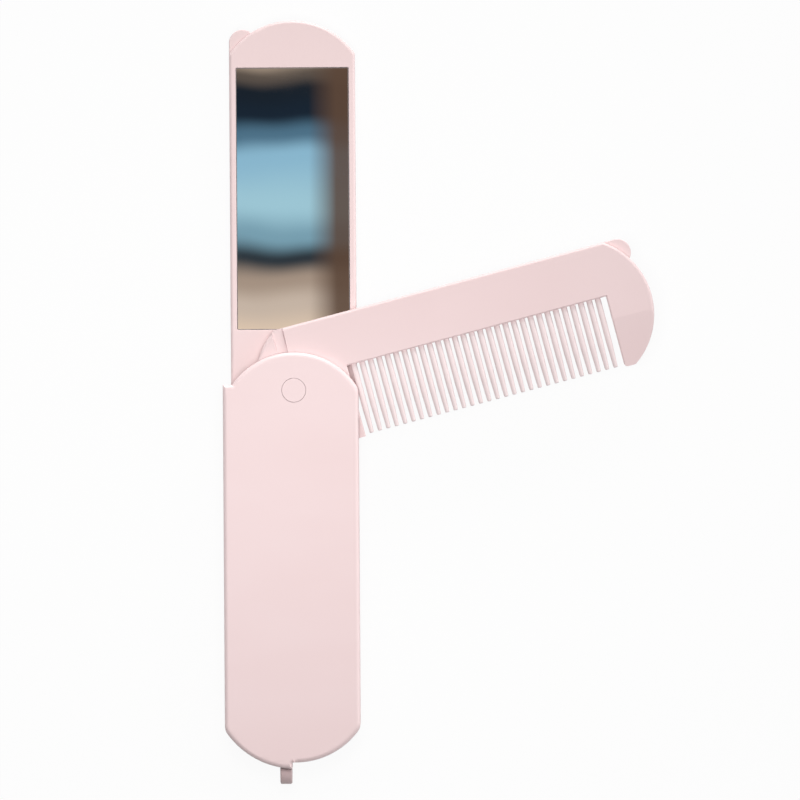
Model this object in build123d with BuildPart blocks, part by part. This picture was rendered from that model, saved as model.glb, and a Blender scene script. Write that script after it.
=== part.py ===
from build123d import *
import os
from math import cos, radians, sin, sqrt

# Folding pocket comb with a mirror, in millimetres. The pivot axis is Z and the rear face of
# the handle is z = 0. At rest the mirror arm points up (+Y) and the comb arm out to the right.
# Both arms swing clockwise into the handle's open right side.
# On an arm, u runs from the pivot towards its far end and v towards its thumb tab.

os.makedirs("parts", exist_ok=True)

# Thickness of each layer, from the back
rear_plate = 1.6
mirror_thickness = 3.2
comb_thickness = 3.6
front_plate = 1.7
layer_gap = 0.3

mirror_rear_z = rear_plate + layer_gap
mirror_front_z = mirror_rear_z + mirror_thickness
comb_rear_z = mirror_front_z + layer_gap
comb_front_z = comb_rear_z + comb_thickness
cover_rear_z = comb_front_z + layer_gap
cover_front_z = cover_rear_z + front_plate
boss_meet_z = (mirror_front_z + comb_rear_z) / 2

# Outline shared by both arms
arm_half_width = 16.3
arm_reach = 95.7
arm_end_radius = 19.7
hub_reach = 9.6
hub_end_radius = 19.7
arm_corner_round = 1.0
arm_front_round = 0.8
arm_rear_round = 0.5
tab_radius = 3.5
tab_stand_out = 2.5
tab_thickness = 1.6
tab_rise = 0.5
mirror_angle = 90.0
comb_angle = 14.6

# Comb teeth
tooth_pitch = 2.25
first_tooth_u = 16.65
tooth_width = 1.5
tooth_thickness = 2.9
tooth_tip_width = 1.1
tooth_tip_thickness = 1.8
tooth_edge_round = 0.55
tooth_tip_edge_round = 0.4
tooth_tip_round = 0.35
tooth_narrows_v = -9.0
tooth_tip_v = -15.8
tooth_root_v = 2.6
tooth_embed = 0.5
guard_gap = 1.0
least_end_gap = 0.8
end_plate_length = 11.5
comb_bevel_v = -3.5
comb_bevel_drop = 0.95
plate_corner_round = 1.0
comb_groove_from_u = -1.5
comb_groove_to_u = 1.0
comb_groove_depth = 0.5

# Mirror glass and its recess
glass_width = 29.0
glass_thickness = 1.8
glass_start_u = 15.8
glass_end_border = 12.3
glass_corner = 0.6
glass_clearance = 0.1
glass_sink = 0.3
glass_edge = 0.2
recess_edge = 0.2
tape_thickness = 0.3
tape_inset = 1.5

# Handle outline
edge_margin = 0.4
wall_thickness = 1.65
wall_top_y = 1.45
wall_end_x = -1.0
cover_top_radius = 19.4
cover_top_reach = 9.8
cover_round = 1.1
corner_round = 3.5
weld_tongue_width = 0.5
weld_tongue_height = 0.5
weld_clearance = 0.06
seam_depth = 0.2
seam_height = 0.25

# Pivot
boss_radius = 4.5
running_clearance = 0.05
cap_radius = 3.08
cap_thickness = 0.9
cap_clearance = 0.07
cap_edge = 0.12
cap_gap = 0.2
head_radius = 2.75
head_height = 1.3
head_round = 0.4
screw_radius = 1.25
screw_hole_clearance = 0.15
screw_length = 6.2
screw_point = 0.3
cross_width = 0.7
cross_length = 3.2
cross_depth = 0.7
screw_washer_thickness = 0.4
insert_radius = 2.1
insert_length = 3.15
insert_clearance = 0.03
insert_groove = 0.25
insert_groove_length = 1.0
shim_thickness = 0.2
shim_inner_radius = 6.3
shim_outer_radius = 8.5
spring_stock = 0.22
spring_outer_radius = 7.3
spring_height = 0.5
spring_pocket_depth = 0.6
washer_clearance = 0.2

# Stops, one lug on each boss, each in an arc pocket of its arm's hub
stop_lug_radius = 6.0
stop_lug_half_angle = 11.0
stop_lug_height = 1.2
stop_clearance_angle = 2.0
stop_pocket_clearance = 0.15
arm_travel = 180.0

# Click rib under the front cover, which meets the groove of the comb's hub
rib_width = 1.6
rib_height = 0.2
rib_start_x = 9.5
rib_length = 5.5

# Lanyard lug
loop_width = 3.1
loop_radius = 2.8
loop_hole_radius = 1.2
loop_stand_out = 4.1
loop_fit = 0.05
loop_round = 0.45
loop_flange_height = 6.3
loop_flange_thickness = 0.8

# Worked out from the sizes above
arm_end_centre = arm_reach - arm_end_radius
hub_end_centre = hub_end_radius - hub_reach
open_half_width = arm_half_width + edge_margin
wall_half_width = open_half_width + wall_thickness
open_end_radius = arm_end_radius + edge_margin
wall_end_radius = open_end_radius + wall_thickness
mid_z = cover_front_z / 2


def chord_height(radius, half_chord):
    return sqrt(radius**2 - half_chord**2)


def bottom_arc_y(radius, x):
    return -arm_end_centre - chord_height(radius, x)


def arm_plane(angle, z):
    direction = (cos(radians(angle)), sin(radians(angle)), 0)
    return Plane(origin=(0, 0, z), x_dir=direction, z_dir=(0, 0, 1))


def section_plane(angle, z, u):
    # Cuts an arm square to u, with v across and Z up
    along = Vector(cos(radians(angle)), sin(radians(angle)), 0)
    return Plane(origin=along * u + Vector(0, 0, z), x_dir=(-along.Y, along.X, 0), z_dir=along)


def arm_outline(plane):
    # Two straight edges between the hub arc and the far arc
    far_corner = arm_end_centre + chord_height(arm_end_radius, arm_half_width)
    hub_corner = hub_end_centre - chord_height(hub_end_radius, arm_half_width)
    with BuildSketch(plane) as outline:
        with BuildLine():
            ThreePointArc((far_corner, -arm_half_width), (arm_reach, 0), (far_corner, arm_half_width))
            Line((far_corner, arm_half_width), (hub_corner, arm_half_width))
            ThreePointArc((hub_corner, arm_half_width), (-hub_reach, 0), (hub_corner, -arm_half_width))
            Line((hub_corner, -arm_half_width), (far_corner, -arm_half_width))
        make_face()
        fillet(outline.vertices(), radius=arm_corner_round)
    return outline.sketch


def tab_outline(plane):
    # A round-cornered shoulder that stands past the far arc on the arm's tab side
    tab_v = arm_half_width - tab_radius
    tab_u = arm_end_centre + chord_height(arm_end_radius, tab_v) + tab_stand_out - tab_radius
    with BuildSketch(plane) as outline:
        with Locations((tab_u, tab_v)):
            Circle(tab_radius)
        with Locations(((arm_end_centre + tab_u) / 2, tab_v)):
            Rectangle(tab_u - arm_end_centre, 2 * tab_radius)
    return outline.sketch


def ring_sector(plane, inner, outer, start, end):
    middle = (start + end) / 2

    def at(radius, angle):
        return (radius * cos(radians(angle)), radius * sin(radians(angle)))

    with BuildSketch(plane) as sector:
        with BuildLine():
            ThreePointArc(at(outer, start), at(outer, middle), at(outer, end))
            Line(at(outer, end), at(inner, end))
            ThreePointArc(at(inner, end), at(inner, middle), at(inner, start))
            Line(at(inner, start), at(outer, start))
        make_face()
    return sector.sketch


def stop_lug(plane):
    return ring_sector(plane, boss_radius - running_clearance, stop_lug_radius,
                       -stop_lug_half_angle, stop_lug_half_angle)


def stop_pocket(plane, backward_travel):
    # The lug stays put while the arm turns, so seen from the arm it moves the other way
    slack = stop_lug_half_angle + stop_clearance_angle
    return ring_sector(plane, boss_radius, stop_lug_radius + stop_pocket_clearance,
                       backward_travel - arm_travel - slack, backward_travel + slack)


def open_outline(plane):
    # The handle without its spine wall: top arc, straight sides and the open bottom arc
    top_y = cover_top_reach - cover_top_radius + chord_height(cover_top_radius, open_half_width)
    low_y = bottom_arc_y(open_end_radius, open_half_width)
    bottom_y = bottom_arc_y(open_end_radius, 0)
    with BuildSketch(plane) as outline:
        with BuildLine():
            ThreePointArc((open_half_width, top_y), (0, cover_top_reach), (-open_half_width, top_y))
            Line((-open_half_width, top_y), (-open_half_width, low_y))
            ThreePointArc((-open_half_width, low_y), (0, bottom_y), (open_half_width, low_y))
            Line((open_half_width, low_y), (open_half_width, top_y))
        make_face()
        fillet(outline.vertices(), radius=corner_round)
    return outline.sketch


def walled_outline(plane):
    # The part of the handle that the spine wall stands under, from the shoulder to the step
    low_y = bottom_arc_y(wall_end_radius, wall_half_width)
    mid_x = (wall_end_x - wall_half_width) / 2
    corner = (-wall_half_width, low_y)
    step = (wall_end_x, bottom_arc_y(wall_end_radius, wall_end_x))
    with BuildSketch(plane) as outline:
        with BuildLine():
            Line((-wall_half_width, wall_top_y), corner)
            ThreePointArc(corner, (mid_x, bottom_arc_y(wall_end_radius, mid_x)), step)
            Line(step, (wall_end_x, wall_top_y))
            Line((wall_end_x, wall_top_y), (-wall_half_width, wall_top_y))
        make_face()
        fillet(outline.vertices().sort_by_distance((*corner, 0))[0], radius=corner_round)
    return outline.sketch


def rounded_plate(outline, thickness):
    # Extruded away from the cavity, with its outer edge rounded
    with BuildPart() as plate:
        extrude(outline, amount=thickness)
        outer_rim = plate.edges().group_by(Axis.Z)[-1 if thickness > 0 else 0]
        fillet(outer_rim, radius=cover_round)
    return plate.part


def wall_band(plane, outer_inset, inner_inset, end_inset):
    # The J of the spine wall, or a narrower strip inside it
    outer_x = -(wall_half_width - outer_inset)
    inner_x = -(wall_half_width - inner_inset)
    outer_radius = wall_end_radius - outer_inset
    inner_radius = wall_end_radius - inner_inset
    end_x = wall_end_x - end_inset
    top_y = wall_top_y - end_inset
    mid_x = (outer_x + end_x) / 2
    outer_low = (outer_x, bottom_arc_y(outer_radius, outer_x))
    inner_low = (inner_x, bottom_arc_y(inner_radius, inner_x))
    outer_end = (end_x, bottom_arc_y(outer_radius, end_x))
    inner_end = (end_x, bottom_arc_y(inner_radius, end_x))
    with BuildSketch(plane) as band:
        with BuildLine():
            Line((outer_x, top_y), outer_low)
            ThreePointArc(outer_low, (mid_x, bottom_arc_y(outer_radius, mid_x)), outer_end)
            Line(outer_end, inner_end)
            ThreePointArc(inner_end, (mid_x, bottom_arc_y(inner_radius, mid_x)), inner_low)
            Line(inner_low, (inner_x, top_y))
            Line((inner_x, top_y), (outer_x, top_y))
        make_face()
        fillet(band.vertices().sort_by_distance((*outer_low, 0))[0], radius=corner_round - outer_inset)
        fillet(band.vertices().sort_by_distance((*inner_low, 0))[0], radius=corner_round - inner_inset)
    return band.sketch


# Rear case: back plate, spine wall with the shadow line under the cover, pivot boss with its stop lug
insert_top_z = boss_meet_z - running_clearance
insert_low_z = insert_top_z - insert_length
tongue_start = (wall_thickness - weld_tongue_width) / 2
groove_start = tongue_start - weld_clearance
wall_end_y = -arm_end_centre - wall_end_radius
loop_centre_y = wall_end_y - loop_stand_out + loop_radius
loop_mid_x = wall_end_x - loop_fit - loop_width / 2
foot_end_y = -arm_end_centre - open_end_radius
rear_inside = Plane.XY.offset(rear_plate)
front_inside = Plane.XY.offset(cover_rear_z)
outlines = (open_outline, walled_outline)
rear_shells = [rounded_plate(outline(rear_inside), -rear_plate) for outline in outlines]

with BuildPart() as rear_case:
    add(rear_shells)
    extrude(wall_band(rear_inside, 0, wall_thickness, 0), amount=cover_rear_z - rear_plate)
    with BuildSketch(rear_inside):
        Circle(boss_radius)
    extrude(amount=boss_meet_z - rear_plate)
    extrude(stop_lug(rear_inside), amount=stop_lug_height)
    with Locations((0, 0, boss_meet_z)):
        Hole(insert_radius + insert_clearance, depth=boss_meet_z - insert_low_z + insert_clearance)
    groove = wall_band(front_inside, groove_start, wall_thickness - groove_start, groove_start)
    extrude(groove, amount=-(weld_tongue_height + weld_clearance), mode=Mode.SUBTRACT)
    extrude(wall_band(front_inside, 0, seam_depth, 0), amount=-seam_height, mode=Mode.SUBTRACT)
    with Locations((loop_mid_x, wall_end_y, mid_z)):
        Box(loop_width + 2 * loop_fit, 4 * wall_thickness, 2 * (loop_radius + loop_fit), mode=Mode.SUBTRACT)
    with Locations((loop_mid_x, foot_end_y, mid_z)):
        Box(loop_width + 2 * loop_fit, 2 * (loop_flange_thickness + loop_fit),
            loop_flange_height + 2 * loop_fit, mode=Mode.SUBTRACT)
rear_case.part.label = "rear_case"

# Front cover: plate, pivot boss with its counterbore and stop lug, weld tongue and click ribs
counterbore_floor_z = cover_front_z - cap_thickness - cap_gap - head_height - screw_washer_thickness
front_shells = [rounded_plate(outline(front_inside), front_plate) for outline in outlines]
rib_mid_x = rib_start_x + rib_length / 2

with BuildPart() as front_cover:
    add(front_shells)
    with BuildSketch(front_inside):
        Circle(boss_radius)
    extrude(amount=boss_meet_z - cover_rear_z)
    extrude(stop_lug(front_inside), amount=-stop_lug_height)
    tongue_end = tongue_start + weld_clearance
    tongue = wall_band(front_inside, tongue_start, wall_thickness - tongue_start, tongue_end)
    extrude(tongue, amount=-weld_tongue_height)
    with Locations((rib_mid_x, 0, cover_rear_z), (-rib_mid_x, 0, cover_rear_z)):
        Box(rib_length, rib_width, 2 * rib_height)
    with Locations((0, 0, cover_front_z)):
        CounterBoreHole(screw_radius + screw_hole_clearance, cap_radius + cap_clearance,
                        cover_front_z - counterbore_floor_z)
front_cover.part.label = "front_cover"

# Lanyard lug, whose foot fills a notch in the end of the spine wall
loop_plane = Plane.YZ.offset(wall_end_x - loop_fit)
with BuildPart() as lanyard_loop:
    with BuildSketch(loop_plane):
        with Locations((loop_centre_y, mid_z)):
            Circle(loop_radius)
        with Locations(((loop_centre_y + foot_end_y) / 2, mid_z)):
            Rectangle(foot_end_y - loop_centre_y, 2 * loop_radius)
        with Locations((foot_end_y - loop_flange_thickness / 2, mid_z)):
            Rectangle(loop_flange_thickness, loop_flange_height)
        with Locations((loop_centre_y, mid_z)):
            Circle(loop_hole_radius, mode=Mode.SUBTRACT)
    extrude(amount=-loop_width)
    rims = lanyard_loop.edges().filter_by(GeomType.CIRCLE)
    fillet(rims.filter_by(lambda rim: rim.radius > loop_hole_radius), radius=loop_round)
lanyard_loop.part.label = "lanyard_loop"

# Comb arm: spine and plates, then a window that the teeth stand in
comb_plane = arm_plane(comb_angle, comb_rear_z)
comb_mid_plane = comb_plane.offset(comb_thickness / 2)
window_start_u = first_tooth_u - tooth_width / 2 - guard_gap
window_end_u = arm_reach - end_plate_length
window_low_v = -2 * arm_half_width
teeth_length = window_end_u - least_end_gap - tooth_width / 2 - first_tooth_u
tooth_count = int(teeth_length / tooth_pitch) + 1
tooth_places = [(first_tooth_u + step * tooth_pitch, 0) for step in range(tooth_count)]
comb_half = comb_thickness / 2
bevel_slope = comb_bevel_drop / (comb_bevel_v + arm_half_width)
bevel_end_v = window_low_v
bevel_end_half = comb_half - bevel_slope * (comb_bevel_v - bevel_end_v)
hub_disc_radius = shim_outer_radius + washer_clearance
groove_v = (hub_disc_radius + 2 * arm_half_width) / 2
groove_length = 2 * arm_half_width - hub_disc_radius

with BuildPart() as tooth:
    for v, width, thickness, edge in (
        (tooth_root_v + tooth_embed, tooth_width, tooth_thickness, tooth_edge_round),
        (tooth_narrows_v, tooth_width, tooth_thickness, tooth_edge_round),
        (tooth_tip_v + tooth_tip_round, tooth_tip_width, tooth_tip_thickness, tooth_tip_edge_round),
        (tooth_tip_v, tooth_tip_width - tooth_tip_round, tooth_tip_thickness - tooth_tip_round,
         tooth_tip_edge_round - tooth_tip_round / 2),
    ):
        with BuildSketch(Plane.XZ.offset(-v)):
            RectangleRounded(width, thickness, edge)
    loft(ruled=True)

with BuildPart() as comb_arm:
    extrude(arm_outline(comb_plane), amount=comb_thickness)
    fillet(comb_arm.edges().group_by(Axis.Z)[-1], radius=arm_front_round)
    fillet(comb_arm.edges().group_by(Axis.Z)[0], radius=arm_rear_round)
    with BuildSketch(comb_plane):
        with Locations(((window_start_u + window_end_u) / 2, (tooth_root_v + window_low_v) / 2)):
            Rectangle(window_end_u - window_start_u, tooth_root_v - window_low_v)
        with Locations((window_end_u, -arm_half_width)):
            Rectangle(plate_corner_round, plate_corner_round, align=Align.MIN)
        with Locations((window_end_u + plate_corner_round, plate_corner_round - arm_half_width)):
            Circle(plate_corner_round, mode=Mode.SUBTRACT)
    extrude(amount=comb_thickness, mode=Mode.SUBTRACT)
    with BuildSketch(section_plane(comb_angle, comb_rear_z + comb_half, -arm_reach)):
        for side in (1, -1):
            Polygon((comb_bevel_v, side * comb_half), (bevel_end_v, side * bevel_end_half),
                    (bevel_end_v, side * comb_thickness), (comb_bevel_v, side * comb_thickness), align=None)
    extrude(amount=3 * arm_reach, mode=Mode.SUBTRACT)
    with BuildSketch(comb_plane):
        Circle(hub_disc_radius)
    extrude(amount=comb_thickness)
    with BuildSketch(comb_plane.offset(comb_thickness)):
        with Locations(((comb_groove_from_u + comb_groove_to_u) / 2, groove_v)):
            Rectangle(comb_groove_to_u - comb_groove_from_u, groove_length)
    extrude(amount=-comb_groove_depth, mode=Mode.SUBTRACT)
    extrude(tab_outline(comb_plane.offset(tab_rise)), amount=tab_thickness)
    with BuildSketch(comb_plane):
        Circle(boss_radius + running_clearance)
    extrude(amount=comb_thickness, mode=Mode.SUBTRACT)
    extrude(stop_pocket(Plane.XY.offset(comb_front_z), comb_angle + 90),
            amount=-(stop_lug_height - layer_gap + stop_pocket_clearance), mode=Mode.SUBTRACT)
    with Locations(comb_mid_plane.location):
        with Locations(*tooth_places):
            add(tooth.part)
comb_arm.part.label = "comb_arm"

# Mirror frame: plate with the glass recess in front and the spring washer's pocket round the bore
mirror_plane = arm_plane(mirror_angle, mirror_rear_z)
mirror_face = mirror_plane.offset(mirror_thickness)
recess_depth = glass_sink + glass_thickness + tape_thickness
glass_length = arm_reach - glass_end_border - glass_start_u
glass_mid_u = glass_start_u + glass_length / 2

with BuildPart() as mirror_frame:
    extrude(arm_outline(mirror_plane), amount=mirror_thickness)
    fillet(mirror_frame.edges().group_by(Axis.Z)[-1], radius=arm_front_round)
    fillet(mirror_frame.edges().group_by(Axis.Z)[0], radius=arm_rear_round)
    extrude(tab_outline(mirror_plane.offset(tab_rise)), amount=tab_thickness)
    with BuildSketch(mirror_face):
        with Locations((glass_mid_u, 0)):
            RectangleRounded(glass_length + 2 * glass_clearance, glass_width + 2 * glass_clearance,
                             glass_corner)
    extrude(amount=-recess_depth, mode=Mode.SUBTRACT)
    chamfer(mirror_frame.edges(Select.LAST).group_by(Axis.Z)[-1], length=recess_edge)
    with BuildSketch(mirror_face):
        Circle(spring_outer_radius + washer_clearance)
    extrude(amount=-spring_pocket_depth, mode=Mode.SUBTRACT)
    with BuildSketch(mirror_plane):
        Circle(boss_radius + running_clearance)
    extrude(amount=mirror_thickness, mode=Mode.SUBTRACT)
    extrude(stop_pocket(Plane.XY.offset(mirror_rear_z), mirror_angle + 90),
            amount=stop_lug_height - layer_gap + stop_pocket_clearance, mode=Mode.SUBTRACT)
mirror_frame.part.label = "mirror_frame"

recess_floor = mirror_face.offset(-recess_depth)
with BuildPart() as mirror_tape:
    with BuildSketch(recess_floor):
        with Locations((glass_mid_u, 0)):
            Rectangle(glass_length - 2 * tape_inset, glass_width - 2 * tape_inset)
    extrude(amount=tape_thickness)
mirror_tape.part.label = "mirror_tape"

with BuildPart() as mirror_glass:
    with BuildSketch(recess_floor.offset(tape_thickness)):
        with Locations((glass_mid_u, 0)):
            RectangleRounded(glass_length, glass_width, glass_corner)
    extrude(amount=glass_thickness)
    chamfer(mirror_glass.edges().group_by(Axis.Z)[-1], length=glass_edge)
mirror_glass.part.label = "mirror_glass"

# Pivot hardware, from the front
with BuildPart() as pivot_cap:
    with BuildSketch(Plane.XY.offset(cover_front_z - cap_thickness)):
        Circle(cap_radius)
    extrude(amount=cap_thickness)
    chamfer(pivot_cap.edges().group_by(Axis.Z)[-1], length=cap_edge)
pivot_cap.part.label = "pivot_cap"

head_low_z = counterbore_floor_z + screw_washer_thickness
with BuildPart() as pivot_screw:
    with BuildSketch(Plane.XY.offset(head_low_z)):
        Circle(head_radius)
    extrude(amount=head_height)
    fillet(pivot_screw.edges().group_by(Axis.Z)[-1], radius=head_round)
    with BuildSketch(Plane.XY.offset(head_low_z)):
        Circle(screw_radius)
    extrude(amount=-screw_length)
    chamfer(pivot_screw.edges().group_by(Axis.Z)[0], length=screw_point)
    with BuildSketch(Plane.XY.offset(head_low_z + head_height)):
        Rectangle(cross_length, cross_width)
        Rectangle(cross_width, cross_length)
    extrude(amount=-cross_depth, mode=Mode.SUBTRACT)
pivot_screw.part.label = "pivot_screw"

with BuildPart() as screw_washer:
    with BuildSketch(Plane.XY.offset(counterbore_floor_z)):
        Circle(head_radius)
        Circle(screw_radius + screw_hole_clearance, mode=Mode.SUBTRACT)
    extrude(amount=screw_washer_thickness)
screw_washer.part.label = "screw_washer"

with BuildPart() as pivot_insert:
    with BuildSketch(Plane.XY.offset(insert_low_z)):
        Circle(insert_radius)
        Circle(screw_radius + insert_clearance, mode=Mode.SUBTRACT)
    extrude(amount=insert_length)
    with BuildSketch(Plane.XY.offset(insert_low_z + (insert_length - insert_groove_length) / 2)):
        Circle(2 * insert_radius)
        Circle(insert_radius - insert_groove, mode=Mode.SUBTRACT)
    extrude(amount=insert_groove_length, mode=Mode.SUBTRACT)
pivot_insert.part.label = "pivot_insert"


def shim(name, low_z, inner_radius, outer_radius):
    with BuildPart() as ring:
        with BuildSketch(Plane.XY.offset(low_z)):
            Circle(outer_radius)
            Circle(inner_radius, mode=Mode.SUBTRACT)
        extrude(amount=shim_thickness)
    ring.part.label = name
    return ring


shim_lift = (layer_gap - shim_thickness) / 2
washer_inner_radius = boss_radius + washer_clearance
rear_washer = shim("rear_washer", rear_plate + shim_lift, shim_inner_radius, shim_outer_radius)
middle_washer = shim("middle_washer", mirror_front_z + shim_lift, washer_inner_radius, shim_outer_radius)
front_washer = shim("front_washer", comb_front_z + shim_lift, shim_inner_radius, shim_outer_radius)

# Conical spring washer, its outer rim down on the floor of the mirror frame's pocket
spring_low_z = mirror_front_z - spring_pocket_depth + running_clearance
spring_cone = spring_height - spring_stock
with BuildPart() as spring_washer:
    with BuildSketch(Plane.XZ):
        Polygon((washer_inner_radius, spring_low_z + spring_cone), (spring_outer_radius, spring_low_z),
                (spring_outer_radius, spring_low_z + spring_stock),
                (washer_inner_radius, spring_low_z + spring_height), align=None)
    revolve(axis=Axis.Z)
spring_washer.part.label = "spring_washer"

pieces = [rear_case, front_cover, lanyard_loop, comb_arm, mirror_frame, mirror_tape, mirror_glass, pivot_cap,
          pivot_screw, screw_washer, pivot_insert, rear_washer, middle_washer, front_washer, spring_washer]
for piece in pieces:
    export_step(piece.part, f"parts/{piece.part.label}.step")
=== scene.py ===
from math import atan2, cos, pi, radians, sin, sqrt
import bpy
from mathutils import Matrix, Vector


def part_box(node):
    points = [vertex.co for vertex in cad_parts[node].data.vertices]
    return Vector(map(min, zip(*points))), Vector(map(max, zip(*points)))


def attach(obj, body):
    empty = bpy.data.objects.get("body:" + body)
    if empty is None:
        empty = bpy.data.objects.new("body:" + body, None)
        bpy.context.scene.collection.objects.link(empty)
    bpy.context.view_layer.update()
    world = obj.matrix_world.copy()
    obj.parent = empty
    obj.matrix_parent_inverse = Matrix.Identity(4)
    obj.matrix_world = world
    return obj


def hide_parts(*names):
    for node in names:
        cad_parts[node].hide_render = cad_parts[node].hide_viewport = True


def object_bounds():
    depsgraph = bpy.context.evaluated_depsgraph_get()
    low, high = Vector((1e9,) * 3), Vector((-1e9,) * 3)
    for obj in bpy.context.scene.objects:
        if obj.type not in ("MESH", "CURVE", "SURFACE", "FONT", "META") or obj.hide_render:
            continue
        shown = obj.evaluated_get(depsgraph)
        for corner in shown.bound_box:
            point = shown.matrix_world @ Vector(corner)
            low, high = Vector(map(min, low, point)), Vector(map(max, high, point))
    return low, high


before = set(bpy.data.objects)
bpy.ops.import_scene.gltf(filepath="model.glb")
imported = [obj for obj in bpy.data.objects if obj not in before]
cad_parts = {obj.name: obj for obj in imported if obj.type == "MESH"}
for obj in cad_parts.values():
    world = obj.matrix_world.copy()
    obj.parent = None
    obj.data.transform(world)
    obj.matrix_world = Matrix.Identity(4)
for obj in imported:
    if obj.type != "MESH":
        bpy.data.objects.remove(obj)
cadLow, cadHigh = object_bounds()
bpy.ops.object.select_all(action='DESELECT')
print("frame loaded with", len(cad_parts), "nodes")

# what all pieces share: angles are in degrees, and a round is written as its radius and its steps
mm = 0.001
spare = 1 * mm    # how far a cutting block or cylinder runs past what it cuts
near = 0.02 * mm    # places closer than this are taken as one
weldGap = 0.001 * mm    # corners this close after a cut become one
hairline = 0.0001 * mm    # corners this close to a cell's cut count as on it
cellSize = 6 * mm    # the longest that a strip of a finished moulding runs
squareOn = 0.99999    # a face normal this near to an axis belongs to a flat
broadFace = 40 * mm * mm    # and so does any face larger than this
flatAngle = 0.05    # faces that meet at less than this are one flat side
smoothAngle = 28    # and at less than this they shade as one round
# sides of a full turn
sidesOf = {"outline": 240, "stop": 180, "seat": 128, "bore": 96, "hole": 64, "corner": 48}

# camera: square to the front cover, far off, with the photo's slight roll
cameraLook = {
    "aimX": 0.0274,
    "aimY": -0.0027,
    "height": 2.0,
    "frameWidth": 0.2064,    # metres across the picture at the cover's face
    "roll": -0.37,
    "sensorWidth": 36,    # millimetres
    "clip": (0.01, 10),
}


def makeCamera(look):
    place = (look["aimX"], look["aimY"], look["height"])
    bpy.ops.object.camera_add(location=place, rotation=(0, 0, radians(look["roll"])))
    camera = bpy.context.object
    camera.name = "photoCamera"
    camera.data.sensor_width = look["sensorWidth"]
    camera.data.lens = look["sensorWidth"] * (look["height"] - cadHigh.z) / look["frameWidth"]
    camera.data.clip_start, camera.data.clip_end = look["clip"]
    bpy.context.scene.camera = camera


makeCamera(cameraLook)
bpy.context.scene.view_settings.view_transform = 'Standard'
print("camera made")

# shader steps that the materials share


def startMaterial(name):
    material = bpy.data.materials.new(name)
    material.use_nodes = True
    return material, material.node_tree.nodes, material.node_tree.links


def noiseAt(nodes, links, vector, scale, detail):
    noise = nodes.new("ShaderNodeTexNoise")
    noise.inputs["Scale"].default_value = scale
    noise.inputs["Detail"].default_value = detail
    links.new(vector, noise.inputs["Vector"])
    return noise.outputs["Fac"]


def stretched(nodes, links, vector, scale):
    stretch = nodes.new("ShaderNodeMapping")
    stretch.inputs["Scale"].default_value = scale
    links.new(vector, stretch.inputs["Vector"])
    return stretch.outputs["Vector"]


def splitAxes(nodes, links, vector):
    split = nodes.new("ShaderNodeSeparateXYZ")
    links.new(vector, split.inputs["Vector"])
    return split.outputs


def spread(nodes, links, value, fromRange, toRange):
    remap = nodes.new("ShaderNodeMapRange")
    remap.inputs["From Min"].default_value, remap.inputs["From Max"].default_value = fromRange
    remap.inputs["To Min"].default_value, remap.inputs["To Max"].default_value = toRange
    links.new(value, remap.inputs["Value"])
    return remap.outputs["Result"]


def calculate(nodes, links, operation, *terms):
    # each term is another node's output or a plain number
    step = nodes.new("ShaderNodeMath")
    step.operation = operation
    for socket, term in zip(step.inputs, terms):
        if isinstance(term, (int, float)):
            socket.default_value = term
        else:
            links.new(term, socket)
    return step.outputs["Value"]


def mixColors(nodes, links, factor, first, second):
    mix = nodes.new("ShaderNodeMix")
    mix.data_type = 'RGBA'
    mix.inputs["A"].default_value = (*first, 1)
    mix.inputs["B"].default_value = (*second, 1)
    links.new(factor, mix.inputs["Factor"])
    return mix.outputs["Result"]


def tint(nodes, links, factor, under, color):
    # turns another node's colour towards a fixed one
    mix = nodes.new("ShaderNodeMix")
    mix.data_type = 'RGBA'
    mix.inputs["B"].default_value = (*color, 1)
    links.new(factor, mix.inputs["Factor"])
    links.new(under, mix.inputs["A"])
    return mix.outputs["Result"]


# studio: a white floor, a low key from beyond the mirror, a low lamp on the right for the rims, a lamp
# overhead, and a world that dims to lower left
floorLook = {
    "size": 6.0,
    "color": (0.80, 0.80, 0.80),
    "roughness": 0.9,
    "glow": 0.94,    # share of plain white that the camera sees, so the shadow stays faint
}
lampLooks = {
    "keyLamp": {
        "place": (0.30, 2.50, 0.56), "size": (1.6, 0.5), "power": 46.0, "color": (1.0, 0.99, 0.975),
        "shows": True,
    },
    "rimLamp": {
        "place": (2.00, 0.10, 0.62), "size": (0.5, 1.4), "power": 6.5, "color": (1.0, 0.995, 0.985),
        "shows": True,
    },
    "topLamp": {
        "place": (0.0, 0.008, 0.27), "size": (0.12, 0.12), "power": 0.395, "color": (1.0, 0.99, 0.985),
        "shows": False,
    },
}
worldLook = {
    "brightSide": (0.52, 0.52, 0.52),
    "dimSide": (0.12, 0.115, 0.12),
    "towards": (0.75, 0.62, 0.0),    # where the bright side lies
    "reach": 0.9,    # the fade runs from this far off that side to this far on it, of 1
    "white": (1.0, 1.0, 1.0),
}


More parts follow.
